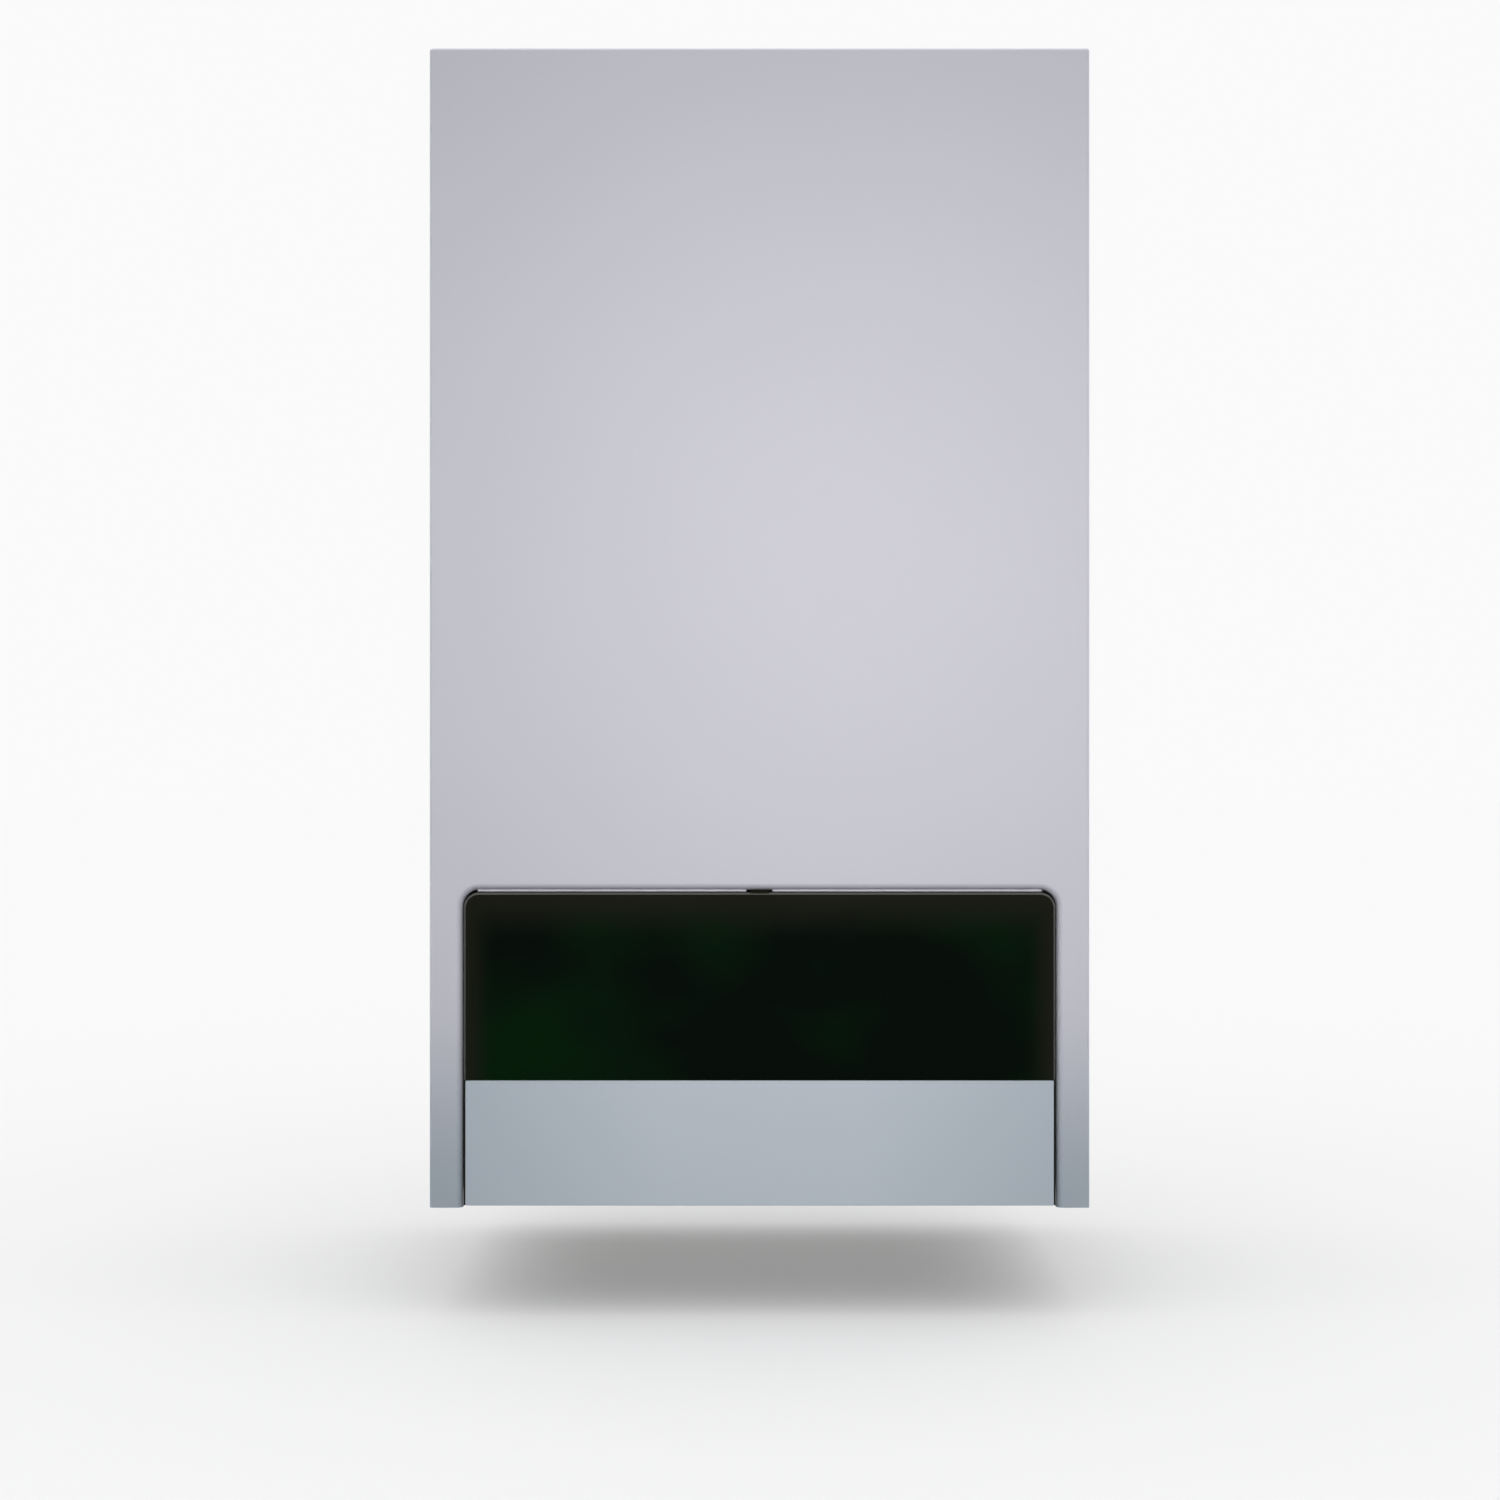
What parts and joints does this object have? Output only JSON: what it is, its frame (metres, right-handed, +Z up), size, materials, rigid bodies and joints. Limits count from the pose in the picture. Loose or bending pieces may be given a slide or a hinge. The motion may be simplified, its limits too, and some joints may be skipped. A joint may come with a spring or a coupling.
{
  "type": "wall-hung combi boiler",
  "caption": "Wall-hung gas boiler for heating and hot water: pull-off steel casing, dark drop-down flap over tilting controls, sealed chamber, pump, valves and pipe tails.",
  "frame": {"origin": "the wall plane, in the middle of the casing's bottom edge, where the frame's rear foot meets the wall", "axes": "+X to the right as seen from the front, +Y into the wall, +Z up; the front faces -Y"},
  "size_m": [0.4, 0.3, 0.73],
  "materials": {
    "casing_paint": "satin",
    "plate_paint": "satin",
    "tinted_panel": "gloss",
    "galvanised": "satin",
    "zinc_screw": "satin",
    "stainless": "satin",
    "cast_aluminium": "satin",
    "copper": "satin",
    "brass": "satin",
    "vessel_paint": "satin",
    "pump_iron": "matte",
    "motor_paint": "satin",
    "dark_plastic": "matte",
    "light_plastic": "matte",
    "knob_plastic": "satin",
    "button_plastic": "satin",
    "red_plastic": "satin",
    "switch_plastic": "gloss",
    "circuit_laminate": "satin",
    "display_lens": "gloss",
    "gauge_plastic": "satin",
    "needle_paint": "matte",
    "seal_rubber": "matte",
    "hose_rubber": "matte",
    "ceramic_fibre": "matte",
    "electrode_ceramic": "gloss",
    "clear_glass": "gloss"
  },
  "bodies": {
    "frame": {"air_pressure_switch": "light_plastic", "air_vent": "brass", "bottom_tray": "galvanised", "burner_bars": "stainless", "burner_manifold": "cast_aluminium", "cable_gland": "dark_plastic", "chamber_cover": "galvanised", "chamber_seal": "seal_rubber", "chamber_shell": "galvanised", "combustion_box": "stainless", "copper_pipes": "copper", "diverter_motor": "dark_plastic", "electrodes": "electrode_ceramic", "expansion_vessel": "vessel_paint", "fan_housing": "cast_aluminium", "fan_motor": "motor_paint", "filling_valve": "brass", "flow_block": "brass", "flue_collar": "cast_aluminium", "flue_gas_pipe": "cast_aluminium", "flue_hood": "stainless", "frame_screws": "zinc_screw", "gas_valve": "cast_aluminium", "heat_exchanger_fins": "copper", "heat_exchanger_tube": "copper", "insulation_boards": "ceramic_fibre", "pipe_tails": "brass", "plate_heat_exchanger": "stainless", "pressure_hoses": "hose_rubber", "pump_housing": "pump_iron", "pump_motor": "motor_paint", "rear_frame": "galvanised", "relief_valve": "brass", "return_block": "brass", "sight_glass": "clear_glass", "top_panel": "galvanised", "vessel_diaphragm": "seal_rubber", "wall_bracket": "galvanised"},
    "casing": {"front_casing": "casing_paint", "casing_screws": "zinc_screw"},
    "control_unit": {"control_box": "dark_plastic", "control_box_cover": "dark_plastic", "control_fascia": "light_plastic", "circuit_board": "circuit_laminate", "display": "display_lens", "pressure_gauge": "gauge_plastic", "hinge_pins": "stainless"},
    "flap": {"flap_panel": "tinted_panel", "flap_lower_plate": "plate_paint"},
    "heating_dial": {"heating_knob": "knob_plastic"},
    "hot_water_dial": {"hot_water_knob": "knob_plastic"},
    "reset_key": {"reset_button": "button_plastic"},
    "service_key": {"service_button": "button_plastic"},
    "power_rocker": {"power_switch": "switch_plastic"},
    "gauge_pointer": {"gauge_needle": "needle_paint"},
    "fan_rotor": {"fan_impeller": "stainless"},
    "pump_rotor": {"pump_impeller": "dark_plastic"},
    "diverter_stem": {"diverter_spindle": "stainless"},
    "relief_cap": {"relief_knob": "red_plastic"},
    "filling_handle": {"filling_knob": "dark_plastic"}
  },
  "joints": [
    {"name": "casing_pull", "type": "slide", "parent": "frame", "child": "casing", "axis": [0, -1, 0], "range_m": [0, 0.33]},
    {"name": "control_unit_tilt", "type": "hinge", "parent": "frame", "child": "control_unit", "pos_m": [0, -0.27, 0.02], "axis": [1, 0, 0], "range_deg": [0, 85]},
    {"name": "flap_hinge", "type": "hinge", "parent": "control_unit", "child": "flap", "pos_m": [0, -0.291, 0.01], "axis": [1, 0, 0], "range_deg": [0, 110]},
    {"name": "heating_dial_turn", "type": "hinge", "parent": "control_unit", "child": "heating_dial", "pos_m": [0.084, -0.279, 0.112], "axis": [0, -1, 0], "range_deg": [-135, 135]},
    {"name": "hot_water_dial_turn", "type": "hinge", "parent": "control_unit", "child": "hot_water_dial", "pos_m": [0.138, -0.279, 0.112], "axis": [0, -1, 0], "range_deg": [-135, 135]},
    {"name": "reset_key_press", "type": "slide", "parent": "control_unit", "child": "reset_key", "axis": [0, 1, 0], "range_m": [0, 0.0015], "stiffness_N_per_m": 500, "springref_m": -0.0005},
    {"name": "service_key_press", "type": "slide", "parent": "control_unit", "child": "service_key", "axis": [0, 1, 0], "range_m": [0, 0.0015], "stiffness_N_per_m": 500, "springref_m": -0.0005},
    {"name": "power_rocker_tip", "type": "hinge", "parent": "control_unit", "child": "power_rocker", "pos_m": [-0.125, -0.2735, 0.056], "axis": [1, 0, 0], "range_deg": [0, 16]},
    {"name": "gauge_pointer_turn", "type": "hinge", "parent": "control_unit", "child": "gauge_pointer", "pos_m": [-0.125, -0.281, 0.118], "axis": [0, -1, 0], "range_deg": [-120, 120], "stiffness_Nm_per_rad": 0.0005},
    {"name": "fan_spin", "type": "hinge", "parent": "frame", "child": "fan_rotor", "pos_m": [-0.0305, -0.2, 0.58], "axis": [0, -1, 0], "continuous": true},
    {"name": "pump_spin", "type": "hinge", "parent": "frame", "child": "pump_rotor", "pos_m": [0.13, -0.095, 0.114], "axis": [0, -1, 0], "continuous": true},
    {"name": "diverter_stroke", "type": "slide", "parent": "frame", "child": "diverter_stem", "axis": [0, 0, 1], "range_m": [0, 0.012]},
    {"name": "relief_cap_turn", "type": "hinge", "parent": "frame", "child": "relief_cap", "pos_m": [-0.13, -0.16, 0.062], "axis": [0, -1, 0], "range_deg": [0, 90]},
    {"name": "filling_handle_turn", "type": "hinge", "parent": "frame", "child": "filling_handle", "pos_m": [0.0975, -0.095, 0], "axis": [0, 0, -1], "range_deg": [0, 180]}
  ]
}
